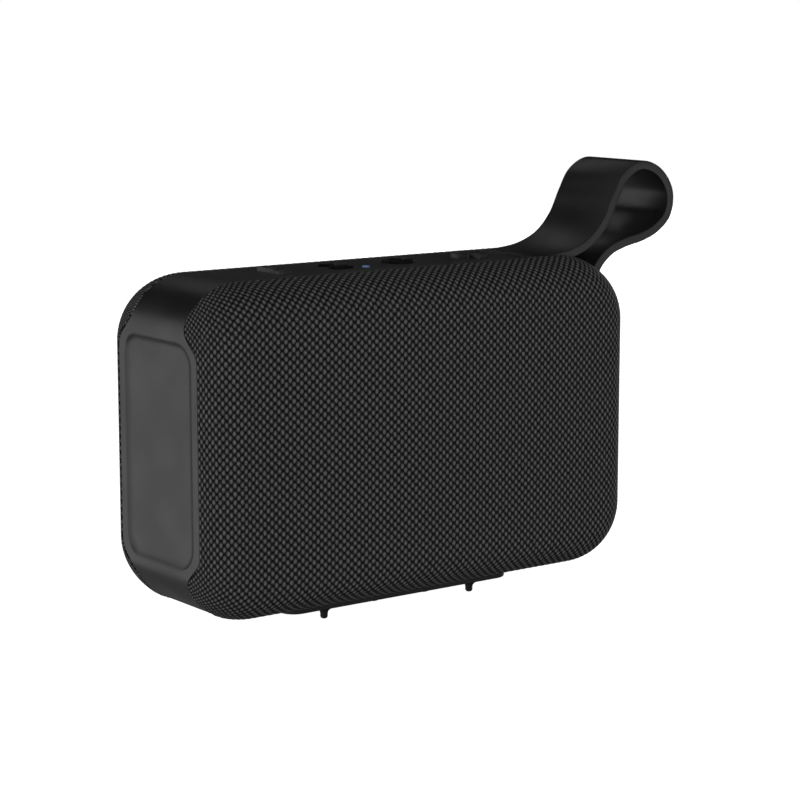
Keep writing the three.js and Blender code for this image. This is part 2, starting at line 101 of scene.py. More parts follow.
# The rings of a cover's hem: how far each lies inside the rim, and how far towards the band.
HEM = [(0.15 * MM, 0.2 * MM), (0.6 * MM, 0.25 * MM), (2 * MM, 0.25 * MM)]

# The strap's section: its width, its thickness and the radius of its edges.
STRAP = {"width": 27 * MM, "thickness": 2.8 * MM, "edge": 0.25 * MM}


# Camera, lights and stage.

# Turns in degrees, places from the enclosure's middle, and the focal length in millimetres.
CAMERA = {
    "yaw": -36.69,
    "pitch": 9.48,
    "distance": 723 * MM,
    "right": 6.87 * MM,
    "up": 7.02 * MM,
    "lens": 106.4,
}


def view_axes(yaw, pitch):
    """Right, up and backward directions of a camera turned by yaw and tilted down by pitch."""
    back = Vector((sin(yaw) * cos(pitch), -cos(yaw) * cos(pitch), sin(pitch)))
    right = Vector((cos(yaw), sin(yaw), 0))
    return right, back.cross(right), back


def add_camera():
    right, up, back = view_axes(radians(CAMERA["yaw"]), radians(CAMERA["pitch"]))
    data = bpy.data.cameras.new("camera")
    data.lens = CAMERA["lens"]
    data.sensor_width = 36
    data.clip_start = 0.01
    camera = bpy.data.objects.new("camera", data)
    bpy.context.scene.collection.objects.link(camera)
    place = CENTRE + back * CAMERA["distance"] + right * CAMERA["right"] + up * CAMERA["up"]
    camera.matrix_world = Matrix.Translation(place) @ Matrix((right, up, back)).transposed().to_4x4()
    bpy.context.scene.camera = camera


def add_area_light(name, azimuth, elevation, distance, size, power):
    """A soft light, size wide and high, aimed at the body. Azimuth 0 is in front, 90 on the right."""
    turn, rise = radians(azimuth), radians(elevation)
    away = Vector((sin(turn) * cos(rise), -cos(turn) * cos(rise), sin(rise)))
    data = bpy.data.lights.new(name, "AREA")
    data.shape = "RECTANGLE"
    data.size, data.size_y = size
    data.energy = power
    light = bpy.data.objects.new(name, data)
    bpy.context.scene.collection.objects.link(light)
    light.location = CENTRE + away * distance
    light.rotation_euler = away.to_track_quat("Z", "Y").to_euler()
    light.visible_camera = False


def add_stage():
    """A white room and floor that only the camera sees, so that the lights alone light the piece."""
    world = bpy.data.worlds.new("studio")
    world.use_nodes = True
    background = world.node_tree.nodes["Background"]
    background.inputs["Color"].default_value = (1, 1, 1, 1)
    background.inputs["Strength"].default_value = 1.0
    world.cycles_visibility.diffuse = False
    world.cycles_visibility.glossy = False
    bpy.context.scene.world = world
    bpy.context.scene.view_settings.view_transform = "Standard"
    size = 30
    mesh = bpy.data.meshes.new("floor")
    corners = [(-size, -size, 0), (size, -size, 0), (size, size, 0), (-size, size, 0)]
    mesh.from_pydata(corners, [], [(0, 1, 2, 3)])
    floor = bpy.data.objects.new("floor", mesh)
    bpy.context.scene.collection.objects.link(floor)
    floor.visible_diffuse = False
    floor.visible_glossy = False
    floor.visible_shadow = False
    paint = Paint("floor_paint", color=(0.9, 0.9, 0.9), roughness=0.9)
    paint.set(paint.shader, "Emission Color", (1, 1, 1, 1))
    paint.set(paint.shader, "Emission Strength", 1.0)
    mesh.materials.append(paint.material)


# Materials.

class Paint:
    """A Principled material whose inputs are set by name, with helpers to add its pattern."""

    def __init__(self, name, color=(0.5, 0.5, 0.5), roughness=0.5, metallic=0.0, specular=0.5):
        self.material = bpy.data.materials.new(name)
        self.material.use_nodes = True
        self.tree = self.material.node_tree
        self.shader = self.tree.nodes["Principled BSDF"]
        self.set(self.shader, "Base Color", (*color, 1))
        self.set(self.shader, "Roughness", roughness)
        self.set(self.shader, "Metallic", metallic)
        self.set(self.shader, "Specular IOR Level", specular)

    def set(self, node, socket, value):
        target = node.inputs[socket]
        if isinstance(value, bpy.types.NodeSocket):
            self.tree.links.new(value, target)
        else:
            target.default_value = value

    def node(self, kind, settings=None, **inputs):
        node = self.tree.nodes.new(kind)
        for key, value in (settings or {}).items():
            setattr(node, key, value)
        for socket, value in inputs.items():
            self.set(node, socket.replace("_", " "), value)
        return node

    def math(self, operation, *values):
        node = self.node("ShaderNodeMath", {"operation": operation})
        for index, value in enumerate(values):
            self.set(node, index, value)
        return node.outputs[0]

    def place(self):
        """Coordinates that stay with the piece, in metres."""
        return self.node("ShaderNodeTexCoord").outputs["Object"]

    def noise(self, size, detail=3.0, stretch=(1, 1, 1)):
        mapping = self.node("ShaderNodeMapping", Vector=self.place(), Scale=stretch)
        texture = self.node(
            "ShaderNodeTexNoise", Vector=mapping.outputs[0], Scale=1 / size, Detail=detail
        )
        return texture.outputs["Fac"]

    def ramp(self, value, low, high):
        """Maps the usual span of a noise smoothly onto a range."""
        node = self.node("ShaderNodeMapRange", {"interpolation_type": "SMOOTHSTEP"}, Value=value)
        span = {"From Min": 0.3, "From Max": 0.7, "To Min": low, "To Max": high}
        for socket, number in span.items():
            self.set(node, socket, number)
        return node.outputs["Result"]

    def color(self, factor, first, second):
        """Blends two colours, inputs 6 and 7 of a mix node, into the base colour."""
        node = self.node("ShaderNodeMix", {"data_type": "RGBA"}, Factor=factor)
        self.set(node, 6, (*first, 1))
        self.set(node, 7, (*second, 1))
        self.set(self.shader, "Base Color", node.outputs[2])

    def bump(self, height, depth, strength=1.0):
        node = self.node("ShaderNodeBump", Strength=strength, Distance=depth, Height=height)
        self.set(self.shader, "Normal", node.outputs[0])


def shades(color, spread):
    return [tuple(channel * factor for channel in color) for factor in (1 - spread, 1 + spread)]


def moulded(name, color, roughness, specular=0.5, grain=0.5 * MM, depth=0.02 * MM, spread=0.12):
    """Moulded rubber or plastic: a fine grain, with faint cloudy shifts in colour and gloss."""
    paint = Paint(name, color, roughness, specular=specular)
    cloud = paint.noise(18 * MM)
    fine = paint.noise(grain, detail=2.0)
    paint.color(paint.ramp(cloud, 0, 1), *shades(color, spread))
    paint.set(paint.shader, "Roughness", paint.ramp(cloud, roughness - 0.04, roughness + 0.04))
    paint.bump(fine, depth)
    return paint.material


def metal(name, color, roughness, stretch=(1, 1, 1)):
    """Bare or plated metal with a grain that may run along one direction."""
    paint = Paint(name, color, roughness, metallic=1.0)
    grain = paint.noise(0.6 * MM, stretch=stretch)
    paint.color(paint.ramp(grain, 0, 1), *shades(color, 0.15))
    paint.set(paint.shader, "Roughness", paint.ramp(grain, roughness - 0.08, roughness + 0.1))
    paint.bump(grain, 0.01 * MM)
    return paint.material


def woven_cover_paint():
    """Grey flecks in staggered rows on a near-black ground, each slightly different. The flecks are the
    cloth's pattern, but their bright middles and the near-black ground between them are partly painted
    light and painted shade on the raised weave.
    """
    paint = Paint("woven_cover", roughness=0.85, specular=0.1)
    weave = paint.node("ShaderNodeUVMap", {"uv_map": "weave"}).outputs[0]
    noise = paint.node("ShaderNodeTexNoise", Vector=weave, Scale=0.6, Detail=2.0)
    wobble = 0.34
    shift = paint.node("ShaderNodeVectorMath", {"operation": "MULTIPLY_ADD"})
    paint.set(shift, 0, noise.outputs["Color"])
    paint.set(shift, 1, (wobble, wobble, 0))
    paint.set(shift, 2, weave)
    at = paint.node("ShaderNodeSeparateXYZ", Vector=shift.outputs[0])

    def distance(row):
        """Squared distance from the nearest fleck of the even rows (0) or the odd ones (1).

        The noise averages a half, so half the wobble is taken off to keep flecks in place.
        """
        parts = []
        for axis, share in zip("XY", FLECK):
            shifted = paint.math("ADD", at.outputs[axis], row - wobble / 2)
            wrapped = paint.math("WRAP", shifted, 1.0, -1.0)
            in_flecks = paint.math("ABSOLUTE", paint.math("DIVIDE", wrapped, share))
            parts.append(paint.math("POWER", in_flecks, 2.0))
        return paint.math("ADD", *parts)

    nearest = paint.math("MINIMUM", distance(0.0), distance(1.0))
    # Painted light and shade: the fall-off from a fleck's bright middle to the near-black ground is
    # partly the cloth's pattern and partly light on the raised flecks and shade between them.
    fade = paint.math("MULTIPLY", paint.math("POWER", nearest, 1.5), -2.1)
    fleck = paint.math("EXPONENT", fade)
    fibre = paint.noise(0.5 * MM)
    bright = paint.math("MULTIPLY", fleck, paint.ramp(fibre, 0.6, 1.25))
    # The near-black ground is partly painted shade between the flecks, and the fleck colour is partly
    # painted light on their tops.
    paint.color(bright, (0.003, 0.003, 0.0032), (0.175, 0.175, 0.179))
    height = paint.math("ADD", fleck, paint.math("MULTIPLY", fibre, 0.35))
    paint.bump(height, 0.12 * MM, 0.6)
    return paint.material


def circuit_board_paint():
    paint = Paint("circuit_board", roughness=0.4)
    mapping = paint.node("ShaderNodeMapping", Vector=paint.place(), Rotation=(pi / 2, 0, 0))
    tracks = paint.node("ShaderNodeTexBrick", Vector=mapping.outputs[0], Scale=260.0, Mortar_Size=0.03)
    paint.color(tracks.outputs["Fac"], (0.01, 0.09, 0.04), (0.03, 0.2, 0.09))
    paint.bump(tracks.outputs["Fac"], 0.03 * MM)
    return paint.material


def wound_coil_paint():
    paint = Paint("wound_coil", roughness=0.35, metallic=0.9)
    turns = paint.node("ShaderNodeTexWave", {"bands_direction": "Y"}, Vector=paint.place(), Scale=900.0)
    paint.color(turns.outputs["Fac"], (0.25, 0.09, 0.03), (0.75, 0.36, 0.16))
    paint.bump(turns.outputs["Fac"], 0.05 * MM)
    return paint.material


def spider_cloth_paint():
    """A coarse plain weave of treated cotton."""
    paint = Paint("spider_cloth", roughness=0.9)
    scale = 1 / (6 * MM)
    waves = [
        paint.node("ShaderNodeTexWave", {"bands_direction": axis}, Vector=paint.place(), Scale=scale)
        for axis in "XZ"
    ]
    threads = paint.math("MULTIPLY", waves[0].outputs["Fac"], waves[1].outputs["Fac"])
    paint.color(threads, (0.22, 0.12, 0.03), (0.5, 0.32, 0.12))
    paint.bump(threads, 0.1 * MM)
    return paint.material


def lamp_paint():
    paint = Paint("lit_lens", (0.02, 0.035, 0.06), 0.15)
    glow = paint.ramp(paint.noise(0.8 * MM), 0.8, 1.2)
    paint.set(paint.shader, "Emission Color", (0.05, 0.09, 0.18, 1))
    paint.set(paint.shader, "Emission Strength", glow)
    return paint.material


# Meshes.

# Edges that turn by more than this, in degrees, are shaded sharp.
SHARP_ANGLE = 30


def new_piece(name, points, faces, material, body=BODY, smooth=SHARP_ANGLE):
    """Makes an object from points round the enclosure's middle, and lets it ride on a body."""
    mesh = bpy.data.meshes.new(name)
    places = np.asarray(points, float) + np.array(CENTRE)
    mesh.from_pydata(places.tolist(), [], [tuple(face) for face in faces])
    mesh.materials.append(material)
    piece = bpy.data.objects.new(name, mesh)
    bpy.context.scene.collection.objects.link(piece)
    shade(piece, smooth)
    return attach(piece, body)


def shade(piece, angle):
    piece.data.shade_smooth()
    piece.data.set_sharp_from_angle(angle=radians(angle))


def apply_modifiers(piece):
    bpy.context.view_layer.update()
    graph = bpy.context.evaluated_depsgraph_get()
    mesh = bpy.data.meshes.new_from_object(piece.evaluated_get(graph))
    piece.modifiers.clear()
    piece.data = mesh
    shade(piece, SHARP_ANGLE)


def add_bevel(piece, width, segments=3):
    bevel = piece.modifiers.new("bevel", "BEVEL")
    bevel.width = width
    bevel.segments = segments
    bevel.limit_method = "ANGLE"
    bevel.angle_limit = radians(35)


def combine(piece, tools, operation):
    """Cuts the tools out of a piece or joins them to it. The tools are removed."""
    for tool in tools:
        modifier = piece.modifiers.new(operation, "BOOLEAN")
        modifier.operation = operation
        modifier.solver = "EXACT"
        modifier.object = tool
    apply_modifiers(piece)
    for tool in tools:
        bpy.data.objects.remove(tool)


def grid_faces(rows, columns, wrap_rows=False, wrap_columns=False):
    """Quads over a grid of points stored row by row."""
    faces = []
    for row in range(rows if wrap_rows else rows - 1):
        for column in range(columns if wrap_columns else columns - 1):
            next_row = (row + 1) % rows
            next_column = (column + 1) % columns
            faces.append((
                row * columns + column,
                row * columns + next_column,
                next_row * columns + next_column,
                next_row * columns + column,
            ))
    return faces


def loft(sections):
    """Points and faces of a closed body through sections with equal numbers of points."""
    count, size = len(sections), len(sections[0])
    points = [point for section in sections for point in section]
    faces = grid_faces(count, size, wrap_columns=True)
    faces.append(tuple(reversed(range(size))))
    faces.append(tuple(range((count - 1) * size, count * size)))
    return points, faces


def rounded(corners, radius, steps=6):
    """A polygon, given anticlockwise as (a, b) corners, with every corner rounded."""
    outline = []
    count = len(corners)
    for index, corner in enumerate(corners):
        here = Vector(corner)
        before = (Vector(corners[index - 1]) - here).normalized()
        after = (Vector(corners[(index + 1) % count]) - here).normalized()
        half_angle = before.angle(after) / 2
        reach = radius / np.tan(half_angle)
        middle = here + (before + after).normalized() * (radius / sin(half_angle))
        start = here + before * reach - middle
        turn = (pi - 2 * half_angle) * (1 if before.x * after.y - before.y * after.x < 0 else -1)
        for step in range(steps + 1):
            angle = turn * step / steps
            outline.append((
                middle.x + start.x * cos(angle) - start.y * sin(angle),
                middle.y + start.x * sin(angle) + start.y * cos(angle),
            ))
    return outline


def rectangle(width, height, a=0.0, b=0.0):
    return [
        (a - width / 2, b - height / 2),
        (a + width / 2, b - height / 2),
        (a + width / 2, b + height / 2),
        (a - width / 2, b + height / 2),
    ]


def circle(radius, x, y):
    """Points round a circle about (x, y)."""
    angles = np.linspace(0, 2 * pi, 32, endpoint=False)
    return [(x + radius * cos(angle), y + radius * sin(angle)) for angle in angles]


def round_box(node):
    """The middle of an upright round node, as x and y, and its radius."""
    low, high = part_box(node)
    return (low.x + high.x) / 2 - CENTRE.x, (low.y + high.y) / 2, (high.x - low.x) / 2


def prism(name, outline, low, high, material, body=BODY, axis="z"):
    """An outline extruded from low to high along z, as (x, y), or along x, as (y, z)."""
    place = {"z": lambda a, b, c: (a, b, c), "x": lambda a, b, c: (c, a, b)}[axis]
    sections = [[place(a, b, level) for a, b in outline] for level in (low, high)]
    return new_piece(name, *loft(sections), material, body)


# Band and loop.

def waist(z):
    """Half the band's width at a height, or at an array of heights."""
    t = np.linspace(0, 1, 41)
    middle = (WAIST["wide_to"] + WAIST["narrow_from"]) / 2
    heights = middle + (WAIST["narrow_from"] - middle) * ((1 - t) ** 3 - t ** 3)
    widths = WAIST["narrow"] + (WAIST["wide"] - WAIST["narrow"]) * (3 * t ** 2 - 2 * t ** 3)
    return np.interp(np.abs(z), heights[::-1], widths[::-1])


def smoothstep(value):
    value = np.clip(value, 0, 1)
    return value * value * (3 - 2 * value)


def edge_curve():
    """The rounded edge, as arc length, height over the middle plane and distance from the outline."""
    angle = np.linspace(0, pi / 2, 2000)
    outwards = EDGE["reach"] * np.sin(angle) ** (2 / EDGE["power"])
    height = HALF.y - EDGE["depth"] + EDGE["depth"] * np.cos(angle) ** (2 / EDGE["power"])
    length = np.concatenate([[0], np.cumsum(np.hypot(np.diff(outwards), np.diff(height)))])
    return length, height, EDGE["reach"] - outwards


EDGE_LENGTH, EDGE_HEIGHT, EDGE_INSET = edge_curve()


def edge_inset(y):
    """How far inside the outline the covers' surface lies, at a distance from the middle plane."""
    return np.interp(y, EDGE_HEIGHT[::-1], EDGE_INSET[::-1])


def recess_share(y, z):
    """How far the end face has sunk towards the recess's floor at (y, z), from 0 to 1.

    The recess is a rounded rectangle, crisp at its rim and soft below.
    """
    a = np.abs(y) - RECESS["half_y"] + RECESS["corner"]
    b = np.abs(z) - RECESS["half_z"] + RECESS["corner"]
    outside = np.hypot(np.maximum(a, 0), np.maximum(b, 0)) + np.minimum(np.maximum(a, b), 0)
    inward = RECESS["corner"] - outside
    return 1 - (1 - np.clip(inward / RECESS["slope"], 0, 1)) ** 2


def band_stations():
    """Points round the body's outline, with the outward direction at each, in (x, z)."""
    flat_x, flat_z = HALF.x - CORNER, HALF.z - CORNER
    ends = np.linspace(-flat_z, flat_z, 161)[1:-1]
    tops = np.linspace(-flat_x, flat_x, 25)[1:-1]
    arc = np.linspace(0, pi / 2, 61)
    centres = [(flat_x, flat_z), (-flat_x, flat_z), (-flat_x, -flat_z), (flat_x, -flat_z)]
    straights = [
        [(-x, HALF.z, 0, 1) for x in tops],
        [(-HALF.x, -z, -1, 0) for z in ends],
        [(x, -HALF.z, 0, -1) for x in tops],
        [],
    ]
    stations = [(HALF.x, z, 1, 0) for z in ends]
    for quarter, ((x, z), straight) in enumerate(zip(centres, straights)):
        for angle in arc + quarter * pi / 2:
            stations.append((x + CORNER * cos(angle), z + CORNER * sin(angle), cos(angle), sin(angle)))
        stations += straight
    return np.array(stations)


def band_piece(material):
    """The band's ring, without holes. A small chamfer, the lip, runs along both its edges."""
    lip = 0.35 * MM
    across = np.linspace(-1, 1, 141)
    fold = [(1, lip), (1, BAND_THICKNESS), (-1, BAND_THICKNESS), (-1, lip)]
    points = []
    stations = band_stations()
    for x, z, out_x, out_z in stations:
        half_width = float(waist(z))
        inset = BAND_INSET + edge_inset(half_width)
        x, z = x - out_x * inset, z - out_z * inset
        y = across * (half_width - lip)
        floor = np.sign(x) * (END_FACE - RECESS["depth"])
        for y_here, share in zip(y, recess_share(y, z)):
            points.append((x + (floor - x) * share, y_here, z))
        for side, depth in fold:
            points.append((x - out_x * depth, side * half_width, z - out_z * depth))
    size = len(across) + len(fold)
    faces = grid_faces(len(stations), size, wrap_rows=True, wrap_columns=True)
    return new_piece("silicone_band_and_loop", points, faces, material)


# The middle line of the loop's strap, in (x, z), from where it leaves the top to the corner.
LOOP = [
    (50, 47.8), (59, 48), (67.2, 49.4), (74.6, 52.8), (80.4, 58.8), (84.3, 66.2), (88.2, 72.3),
    (95.2, 75.6), (102.8, 73), (107.4, 66.6), (106.6, 59.4), (101.6, 55), (95.4, 52.6),
    (88.6, 51.2), (82.4, 49), (77.6, 45), (74.8, 40),
]


def smooth_line(points, steps):
    """A centripetal Catmull-Rom curve through points, with steps points in each stretch."""
    points = [Vector(point) for point in points]
    ends = [2 * points[0] - points[1], *points, 2 * points[-1] - points[-2]]
    line = []
    for p0, p1, p2, p3 in zip(ends, ends[1:], ends[2:], ends[3:]):
        t1 = (p1 - p0).length ** 0.5
        t2 = t1 + (p2 - p1).length ** 0.5
        t3 = t2 + (p3 - p2).length ** 0.5
        for t in np.linspace(t1, t2, steps, endpoint=False):
            a1 = p0.lerp(p1, t / t1)
            a2 = p1.lerp(p2, (t - t1) / (t2 - t1))
            a3 = p2.lerp(p3, (t - t2) / (t3 - t2))
            b1 = a1.lerp(a2, t / t2)
            b2 = a2.lerp(a3, (t - t1) / (t3 - t1))
            line.append(b1.lerp(b2, (t - t1) / (t2 - t1)))
    line.append(points[-1])
    return line


def strap_piece(material):
    """The loop's strap: its section carried along the middle line."""
    line = smooth_line([(x * MM, z * MM) for x, z in LOOP], 8)
    section = rounded(rectangle(STRAP["width"], STRAP["thickness"]), STRAP["edge"], 3)
    sections = []
    for index, here in enumerate(line):
        along = (line[min(index + 1, len(line) - 1)] - line[max(index - 1, 0)]).normalized()
        out = Vector((-along.y, along.x))
        sections.append([(here.x + out.x * b, a, here.y + out.y * b) for a, b in section])
    return new_piece("strap", *loft(sections), material)


# Keys. Their symbols read upright when the speaker hangs, so up is +X and right is -Y.

KEYS = {
    "minus": {"x": -37.6 * MM, "height": 1 * MM},
    "play": {"x": -15.6 * MM, "height": 0.4 * MM},
    "power": {"x": 7.9 * MM, "height": 0.4 * MM},
    "plus": {"x": 35.8 * MM, "height": 1 * MM},
}

# The symbols' shapes are in plain millimetres from the key's middle, wider on every side by grow.
# The volume symbols' strokes have a reach from the middle, and an arm that is half their width.
VOLUME_KEY = {"reach": 6.5, "arm": 2}


def scaled(points, x):
    return [(a * MM + x, b * MM) for a, b in points]


def minus_outlines(grow):
    width, length = (2 * (VOLUME_KEY[side] + grow) for side in ("arm", "reach"))
    return [rounded(rectangle(width, length), 0.8 + grow)]


def plus_outlines(grow):
    arm, reach = VOLUME_KEY["arm"] + grow, VOLUME_KEY["reach"] + grow
    half = [(reach, arm), (arm, arm), (arm, reach), (-arm, reach), (-arm, arm), (-reach, arm)]
    corners = half + [(-x, -y) for x, y in half]
    return [rounded(corners, 0.5)]


def play_outlines(grow):
    triangle = [(-3.2 - 1.6 * grow, 5 + grow), (0, 0.3 - 1.6 * grow), (3.2 + 1.6 * grow, 5 + grow)]
    bars = [rectangle(6.4 + 2 * grow, 1.3 + 2 * grow, 0, y) for y in (-1.8, -4.4)]
    return [rounded(corners, 0.4 + grow) for corners in (triangle, *bars)]


def power_outlines(grow):
    outer, inner = 5 + grow, 3.6 - grow
    opening = 0.6 - grow / inner
    angles = np.linspace(opening, 2 * pi - opening, 49)
    ring = [(outer * cos(angle), outer * sin(angle)) for angle in angles]
    ring += [(inner * cos(angle), inner * sin(angle)) for angle in reversed(angles)]
    return [ring, rounded(rectangle(5 + 2 * grow, 1.4 + 2 * grow, 3, 0), 0.4 + grow)]


OUTLINES = {
    "minus": minus_outlines,
    "play": play_outlines,
    "power": power_outlines,
    "plus": plus_outlines,
}


def key_prisms(name, grow, low, high, material, body=BODY):
    """The raised shapes of a key's symbol, or the holes for them, as separate pieces."""
    return [
        prism(f"{name}_shape_{index}", scaled(outline, KEYS[name]["x"]), low, high, material, body)
        for index, outline in enumerate(OUTLINES[name](grow))
    ]


def minus_step(top, material):
    """What is cut from the minus key, so that its front end steps down."""
    size, middle, drop = 8 * MM, -6.5 * MM, 0.4 * MM
    outline = rounded(rectangle(size, size, KEYS["minus"]["x"], middle), MM)
    return prism("step", outline, top - drop, top + MM, material)


def key_piece(name, material):
    """A key: a flange under the band, with the symbol standing on it."""
    node, body = f"{name}_button", f"{name}_key"
    flange_height, flange_corner, overlap = 1 * MM, 1.5 * MM, 0.5 * MM
    low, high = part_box(node)
    flange_top = low.z + flange_height - CENTRE.z
    top = BAND_TOP + KEYS[name]["height"]
    corners = [(low.x, low.y), (high.x, low.y), (high.x, high.y), (low.x, high.y)]
    flange = rounded([(x - CENTRE.x, y) for x, y in corners], flange_corner)
    key = prism(body, flange, low.z - CENTRE.z, flange_top, material, body)
    shapes = key_prisms(name, 0, flange_top - overlap, top, material, body)
    combine(key, shapes, "UNION")
    if name == "minus":
        combine(key, [minus_step(top, material)], "DIFFERENCE")
    add_bevel(key, 0.22 * MM)
    apply_modifiers(key)
    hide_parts(node)


# Woven covers.

def weave_table():
    """Places across the flattened cloth, with the weave's own coordinate at each."""
    x = np.linspace(-1.4 * HALF.x, 1.4 * HALF.x, 4001)
    to_end = np.maximum(HALF.x - np.abs(x), 0)
    density = (1 + CLOSING * x) * (1 + CROWDING * np.exp(-to_end / FADE)) / PITCH[0]
    u = np.cumsum(density) * (x[1] - x[0])
    return x, u - np.interp(0, x, u)


WEAVE_X, WEAVE_U = weave_table()


def fleck_height(u, v):
    """Height of the weave, from 0 to 1.

    Flecks lie where u and v are whole with an even sum. Their middles are flat on top, and they
    sink to nothing a little past their own size.
    """
    sunk = 1.15

    def distance(shift):
        across = (u + shift + 1) % 2 - 1
        up = (v + shift + 1) % 2 - 1
        return (across / FLECK[0]) ** 2 + (up / FLECK[1]) ** 2

    return smoothstep(sunk - np.minimum(distance(0), distance(1)))


def cloth_grid():
    """A flat grid of (x, z) places on the cloth, with SAMPLES steps to each half spacing."""
    half_x = HALF.x - EDGE["reach"] + EDGE_LENGTH[-1]
    half_z = HALF.z - EDGE["reach"] + EDGE_LENGTH[-1]
    left, right = np.interp((-half_x, half_x), WEAVE_X, WEAVE_U) * SAMPLES[0]
    columns = np.arange(int(left), int(right) + 1) / SAMPLES[0]
    top = int(half_z / PITCH[1] * SAMPLES[1])
    rows = np.arange(-top, top + 1) / SAMPLES[1]
    return np.meshgrid(np.interp(columns, WEAVE_U, WEAVE_X), rows * PITCH[1])


def wrapped(distance):
    """The height over the middle plane, and the reach outwards, at a distance round the edge."""
    height = np.interp(distance, EDGE_LENGTH, EDGE_HEIGHT)
    return height, EDGE["reach"] - np.interp(distance, EDGE_LENGTH, EDGE_INSET)


def cloth_end(near_z, out_z, corner):
    """How far round the edge the cloth runs before it meets the band, found by halving."""
    low, high = np.zeros_like(out_z), np.full_like(out_z, EDGE_LENGTH[-1])
    for _ in range(24):
        middle = (low + high) / 2
        height, outwards = wrapped(middle)
        clear = height > waist(near_z + out_z * (corner + outwards)) + GAP
        low = np.where(clear, middle, low)
        high = np.where(clear, high, middle)
    return low


def cover_surface(side):
    """Points, faces and weave coordinates of one cover.

    The cloth starts as a flat grid. What lies past the flat face is wrapped round the rounded
    edge, as far as the band.
    """
    core_x, core_z = HALF.x - EDGE["reach"], HALF.z - EDGE["reach"]
    corner = CORNER - EDGE["reach"]
    x, z = cloth_grid()
    near_x = np.clip(x, corner - core_x, core_x - corner)
    near_z = np.clip(z, corner - core_z, core_z - corner)
    length = np.hypot(x - near_x, z - near_z)
    safe = np.maximum(length, 1e-9)
    out_x, out_z = (x - near_x) / safe, (z - near_z) / safe
    past = length - corner
    flat = past <= 0
    end = cloth_end(near_z, out_z, corner)
    edge = np.minimum(past, end)
    height, outwards = wrapped(edge)

    def placed(distance):
        """Where (x, z) goes when its distance past the flat face becomes this one."""
        reach = corner + distance
        return np.where(flat, x, near_x + out_x * reach), np.where(flat, z, near_z + out_z * reach)

    centre_x, centre_z = placed(outwards)
    cloth_x, cloth_z = placed(edge)
    u = np.interp(cloth_x, WEAVE_X, WEAVE_U)
    v = cloth_z / PITCH[1]
    power = EDGE["power"] - 1
    rise = np.maximum(outwards / EDGE["reach"], 0) ** power / EDGE["reach"]
    facing = np.clip((height - HALF.y) / EDGE["depth"] + 1, 0, 1) ** power / EDGE["depth"]
    lean = np.where(flat, 0, np.arctan2(rise, facing))
    normal = np.stack([out_x * np.sin(lean), np.cos(lean), out_z * np.sin(lean)], axis=-1)
    sink = RELIEF * (1 - fleck_height(u, v))
    points = np.stack([centre_x, height, centre_z], axis=-1) - normal * sink[..., None]
    outward = np.stack([out_x, 0 * out_x, out_z], axis=-1)
    return clipped_cover(points, outward, past > end, np.stack([u, v], axis=-1), side)


def clipped_cover(points, outward, beyond, weave, side):
    """Keeps the quads that reach inside the cover's edge, and adds a hem that turns inwards."""
    rows, columns = beyond.shape
    index = np.arange(rows * columns).reshape(rows, columns)
    corners = [index[:-1, :-1], index[:-1, 1:], index[1:, 1:], index[1:, :-1]]
    quads = np.stack(corners, axis=-1).reshape(-1, 4)
    quads = quads[~beyond.reshape(-1)[quads].all(axis=1)]
    used, quads = np.unique(quads, return_inverse=True)
    quads = quads.reshape(-1, 4)
    points, outward, weave = (
        values.reshape(rows * columns, -1)[used] for values in (points, outward, weave)
    )
    edges = np.concatenate([quads[:, [k, (k + 1) % 4]] for k in range(4)])
    key = np.sort(edges, axis=1)
    _, first, uses = np.unique(key, axis=0, return_index=True, return_counts=True)
    border = edges[first[uses == 1]]
    rim = np.unique(border)
    faces = [quads]
    lift = {int(vertex): int(vertex) for vertex in rim}
    for turned_in, towards_band in HEM:
        start = len(points)
        ring = points[rim] - outward[rim] * turned_in
        ring[:, 1] -= towards_band
        points = np.concatenate([points, ring])
        weave = np.concatenate([weave, weave[rim]])
        raised = {int(vertex): start + k for k, vertex in enumerate(rim)}
        strip = [[lift[b], lift[a], raised[a], raised[b]] for a, b in border.tolist()]
        faces.append(np.array(strip))
        lift = raised
    faces = np.concatenate(faces)
    points = points * np.array([1, side, 1])
    if side > 0:
        faces = faces[:, ::-1]
    return points, faces, weave


def cover_piece(name, side, material):
    """The front cover, on side -1, or the rear one, on side 1."""
    points, faces, weave = cover_surface(side)
    cover = new_piece(f"{name}_woven_cover", points, faces.tolist(), material, smooth=180)
    layer = cover.data.uv_layers.new(name="weave")
    corner_vertex = np.zeros(len(cover.data.loops), int)
    cover.data.loops.foreach_get("vertex_index", corner_vertex)
    layer.data.foreach_set("uv", weave[corner_vertex].astype(np.float32).ravel())
    wrap = float(np.interp(-WAIST["narrow"], -EDGE_HEIGHT, EDGE_LENGTH)) - EDGE["reach"]
    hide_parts(f"{name}_fabric_cover")


# Pad, feet, lens and port cover.

# The two low ridges under the pad. The height is what shows, and the rest is sunk in the pad.
RIDGE = {
    "x": 9.5 * MM,
    "half_length": 10.5 * MM,
    "radius": 2.2 * MM,
    "height": 0.7 * MM,
    "sunk": 0.3 * MM,
}


def pad_ridge(x, bottom, material):
    """A ridge with rounded ends: arches along y that shrink round each end."""
    depth = RIDGE["height"] + RIDGE["sunk"]
    turns = np.linspace(0, pi, 13)
    sections = []
    for angle in np.linspace(-pi / 2, pi / 2, 13):
        y = RIDGE["half_length"] * np.sign(angle) + RIDGE["radius"] * sin(angle)
        swell = max(cos(angle), 0.05)
        arch = [(RIDGE["radius"] * cos(turn), depth * sin(turn)) for turn in turns]
        sections.append([(x + a * swell, y, bottom + RIDGE["sunk"] - b * swell) for a, b in arch])
    return new_piece("pad_ridge", *loft(sections), material)


